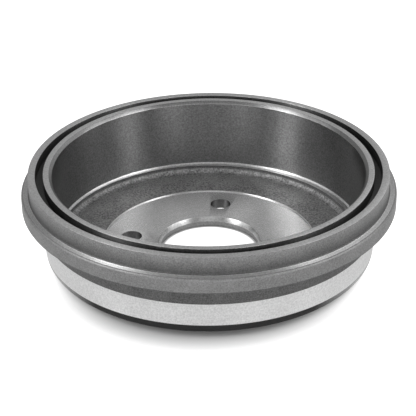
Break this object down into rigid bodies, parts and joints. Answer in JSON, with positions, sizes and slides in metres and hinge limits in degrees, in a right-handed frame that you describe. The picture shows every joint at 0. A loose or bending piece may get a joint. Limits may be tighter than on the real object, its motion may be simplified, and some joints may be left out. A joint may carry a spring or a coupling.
{
  "type": "brake drum",
  "caption": "Round cast iron brake drum with a flat hub, wheel stud holes, an inner friction surface and a grooved, flanged rim.",
  "frame": {"origin": "centre of the outer hub face, which the wheel is bolted against", "axes": "+Z along the drum's axis, from the outer hub face to the open side; +X and +Y each through a stud hole"},
  "size_m": [0.264, 0.264, 0.068],
  "materials": {
    "cast_iron": "grey cast iron, turned on its working faces and left as cast elsewhere"
  },
  "bodies": {
    "root": {"brake_drum": "cast_iron"}
  },
  "joints": []
}
